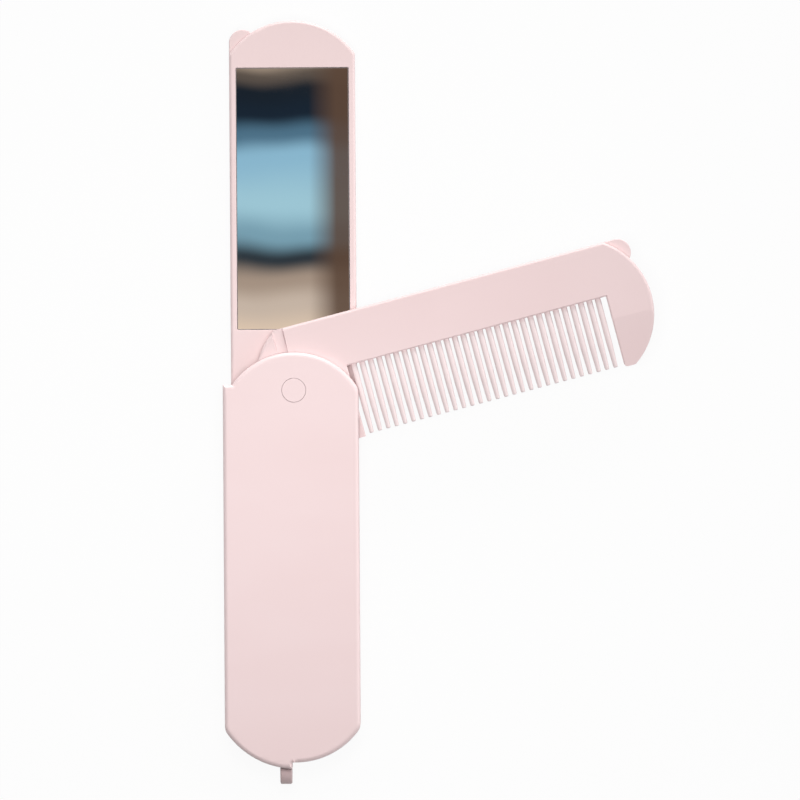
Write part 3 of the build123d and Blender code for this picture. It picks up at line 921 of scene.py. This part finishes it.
# moulded plastic: faint clouding in the pigment, a fine spark-eroded grain and an uneven sheen
plasticLooks = {
    "coverPink": {
        "color": (0.905, 0.735, 0.738), "deepColor": (0.885, 0.705, 0.705), "roughness": (0.30, 0.36),
        "cloudScale": 34, "cloudStretch": (0.35, 1.0, 1.0), "grainScale": 2600, "grainHeight": 0.004 * mm,
    },
    "combPink": {
        "color": (0.868, 0.694, 0.695), "deepColor": (0.848, 0.668, 0.668), "roughness": (0.30, 0.38),
        "cloudScale": 30, "cloudStretch": (0.6, 1.0, 1.0), "grainScale": 2600, "grainHeight": 0.004 * mm,
        # painted light: a paler tint on the teeth for the light that comes through the thin plastic
        "paintedGlowColor": (0.888, 0.758, 0.758), "paintedGlowFade": 1.2 * mm,
    },
    "framePink": {
        "color": (0.908, 0.730, 0.728), "deepColor": (0.888, 0.706, 0.702), "roughness": (0.32, 0.38),
        "cloudScale": 30, "cloudStretch": (0.6, 1.0, 1.0), "grainScale": 2600, "grainHeight": 0.004 * mm,
    },
    # painted shade: the covers' pink darkened, for the shade that the lug sits in at the handle's end
    "lugShadedPink": {
        "color": (0.690, 0.535, 0.535), "deepColor": (0.630, 0.480, 0.485), "roughness": (0.36, 0.44),
        "cloudScale": 220, "cloudStretch": (1.0, 1.0, 1.0), "grainScale": 3200, "grainHeight": 0.004 * mm,
    },
    "shimWhite": {
        "color": (0.80, 0.79, 0.75), "deepColor": (0.76, 0.74, 0.69), "roughness": (0.42, 0.5),
        "cloudScale": 120, "cloudStretch": (1.0, 1.0, 1.0), "grainScale": 3000, "grainHeight": 0.003 * mm,
    },
    "tapeWhite": {
        "color": (0.82, 0.81, 0.77), "deepColor": (0.74, 0.72, 0.66), "roughness": (0.75, 0.9),
        "cloudScale": 150, "cloudStretch": (1.0, 1.0, 1.0), "grainScale": 1800, "grainHeight": 0.03 * mm,
    },
}
plasticPieces = {
    "rear_washer": "shimWhite",
    "middle_washer": "shimWhite",
    "front_washer": "shimWhite",
    "mirror_tape": "tapeWhite",
}
cloudRange = (0.35, 0.65)    # the stretch of the noise that is spread over the whole change of tone
grainRange = (0.3, 0.7)    # the same for grain and streaks
grainStrength = 0.6


def paintTeethGlow(nodes, links, vector, pigment, look, row):
    # painted light: the teeth are tinted paler than the spine they hang from, standing in for light that
    # comes through the thin plastic
    turn = nodes.new("ShaderNodeMapping")
    turn.inputs["Rotation"].default_value[2] = radians(-row["restAngle"])
    links.new(vector, turn.inputs["Vector"])
    axes = splitAxes(nodes, links, turn.outputs["Vector"])
    halfRow = row["toothCount"] * row["toothPitch"] / 2
    rowMiddle = row["firstTooth"] - row["toothPitch"] / 2 + halfRow
    inRow = calculate(nodes, links, 'COMPARE', axes["X"], rowMiddle, halfRow)
    fade = (row["rootLine"] - look["paintedGlowFade"], row["rootLine"])
    belowRoot = spread(nodes, links, axes["Y"], fade, (1, 0))
    share = calculate(nodes, links, 'MULTIPLY', inRow, belowRoot)
    return tint(nodes, links, share, pigment, look["paintedGlowColor"])


def mouldedPlastic(name, look):
    material, nodes, links = startMaterial(name)
    shader = nodes["Principled BSDF"]
    coords = nodes.new("ShaderNodeTexCoord").outputs["Object"]
    cloudCoords = stretched(nodes, links, coords, look["cloudStretch"])
    cloud = noiseAt(nodes, links, cloudCoords, look["cloudScale"], detail=3)
    cloudShare = spread(nodes, links, cloud, cloudRange, (0, 1))
    pigment = mixColors(nodes, links, cloudShare, look["color"], look["deepColor"])
    # painted light: the teeth get a paler tint where light would shine through them
    if "paintedGlowColor" in look:
        pigment = paintTeethGlow(nodes, links, coords, pigment, look, combLook)
    links.new(pigment, shader.inputs["Base Color"])
    grain = noiseAt(nodes, links, coords, look["grainScale"], detail=2)
    links.new(spread(nodes, links, grain, grainRange, look["roughness"]), shader.inputs["Roughness"])
    bump = nodes.new("ShaderNodeBump")
    bump.inputs["Strength"].default_value = grainStrength
    bump.inputs["Distance"].default_value = look["grainHeight"]
    links.new(grain, bump.inputs["Height"])
    links.new(bump.outputs["Normal"], shader.inputs["Normal"])
    return material


# metal: turned or rolled, with fine streaks in its tone and roughness
metalLooks = {
    "screwSteel": {"color": (0.62, 0.62, 0.64), "roughness": (0.22, 0.36), "streak": (1.0, 1.0, 6.0)},
    "springSteel": {"color": (0.48, 0.48, 0.50), "roughness": (0.26, 0.42), "streak": (5.0, 1.0, 1.0)},
    "insertBrass": {"color": (0.78, 0.57, 0.24), "roughness": (0.24, 0.40), "streak": (1.0, 1.0, 8.0)},
}
metalPieces = {
    "pivot_screw": "screwSteel",
    "screw_washer": "screwSteel",
    "spring_washer": "springSteel",
    "pivot_insert": "insertBrass",
}
streakScale = 1500
streakShade = 0.85    # a streak's tone beside the plain metal's


def workedMetal(name, look):
    material, nodes, links = startMaterial(name)
    shader = nodes["Principled BSDF"]
    shader.inputs["Metallic"].default_value = 1.0
    coords = nodes.new("ShaderNodeTexCoord").outputs["Object"]
    streakCoords = stretched(nodes, links, coords, look["streak"])
    streaks = noiseAt(nodes, links, streakCoords, streakScale, detail=4)
    darker = tuple(streakShade * channel for channel in look["color"])
    tone = spread(nodes, links, streaks, grainRange, (0, 1))
    links.new(mixColors(nodes, links, tone, look["color"], darker), shader.inputs["Base Color"])
    links.new(spread(nodes, links, streaks, grainRange, look["roughness"]), shader.inputs["Roughness"])
    return material


# the glass: a silvered face with faint smears, and greenish ground edges
glassLook = {
    "silver": (0.93, 0.95, 0.95),
    "edge": (0.74, 0.80, 0.77),
    "edgeTop": 4.75 * mm,    # everything of the pane above this height is the polished face
    "edgeRoughness": 0.35,
    "smearScale": 60,
    "smearRange": (0.4, 0.75),
    "smears": (0.008, 0.03),    # roughness where the face is clean and where it is smeared
}


def silveredGlass(name, look):
    material, nodes, links = startMaterial(name)
    shader = nodes["Principled BSDF"]
    coords = nodes.new("ShaderNodeTexCoord").outputs["Object"]
    face = calculate(nodes, links, 'GREATER_THAN', splitAxes(nodes, links, coords)["Z"], look["edgeTop"])
    links.new(face, shader.inputs["Metallic"])
    links.new(mixColors(nodes, links, face, look["edge"], look["silver"]), shader.inputs["Base Color"])
    smear = noiseAt(nodes, links, coords, look["smearScale"], detail=4)
    rough = nodes.new("ShaderNodeMix")
    rough.inputs["A"].default_value = look["edgeRoughness"]
    links.new(face, rough.inputs["Factor"])
    links.new(spread(nodes, links, smear, look["smearRange"], look["smears"]), rough.inputs["B"])
    links.new(rough.outputs["Result"], shader.inputs["Roughness"])
    return material


def paint(nodeName, material):
    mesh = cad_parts[nodeName].data
    mesh.materials.clear()
    mesh.materials.append(material)


plastics = {name: mouldedPlastic(name, look) for name, look in plasticLooks.items()}
metals = {name: workedMetal(name, look) for name, look in metalLooks.items()}
for nodeName, finish in plasticPieces.items():
    paint(nodeName, plastics[finish])
for nodeName, finish in metalPieces.items():
    paint(nodeName, metals[finish])
print("materials made")


def handOver(piece, body, nodeName, material):
    # what carries a modelled piece, what it stands for, and its finish
    piece.data.materials.clear()
    piece.data.materials.append(material)
    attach(piece, body)
    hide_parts(nodeName)


handOver(combMoulding, "comb_arm", "comb_arm", plastics["combPink"])
handOver(mirrorMoulding, "mirror_arm", "mirror_frame", plastics["framePink"])
silver = silveredGlass("silveredGlass", glassLook)
handOver(glassPane, "mirror_arm", "mirror_glass", silver)
handOver(coverMoulding, "handle", "front_cover", plastics["coverPink"])
handOver(caseMoulding, "handle", "rear_case", plastics["coverPink"])
handOver(capMoulding, "handle", "pivot_cap", plastics["coverPink"])
# the lug is finished in the pink with painted shade
handOver(lugMoulding, "handle", "lanyard_loop", plastics["lugShadedPink"])
print("pieces handed over")
